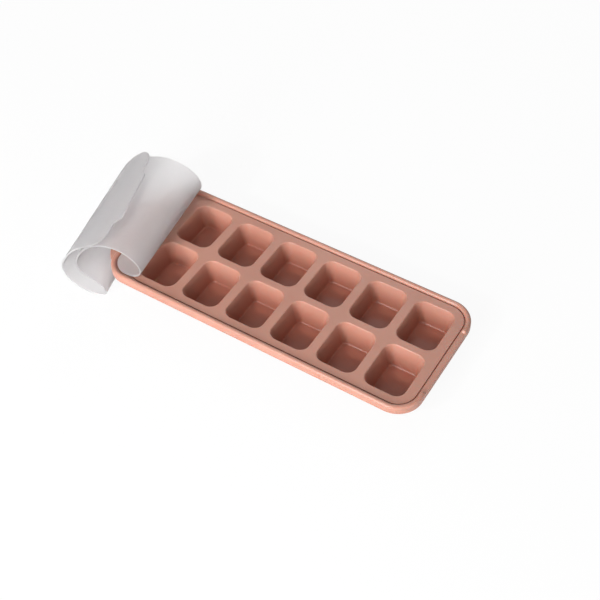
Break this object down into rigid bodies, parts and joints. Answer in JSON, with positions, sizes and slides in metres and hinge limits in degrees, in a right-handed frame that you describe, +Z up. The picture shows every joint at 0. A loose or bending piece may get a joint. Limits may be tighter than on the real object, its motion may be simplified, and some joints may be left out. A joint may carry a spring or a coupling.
{
  "type": "silicone ice cube tray with lid",
  "caption": "Flexible ice cube tray with two rows of tapered cells inside a raised rim, and a translucent sheet lid peeled back and rolled up at one end.",
  "frame": {"origin": "centre of the tray's rows of cells, on the surface that the tray stands on", "axes": "+X along the tray, away from the rolled lid; +Y across it; +Z up"},
  "size_m": [0.3092, 0.1263, 0.0732],
  "materials": {
    "tray_silicone": "satin moulded silicone",
    "lid_silicone": "milky translucent sheet"
  },
  "bodies": {
    "root": {"tray": "tray_silicone", "lid": "lid_silicone"}
  },
  "joints": []
}
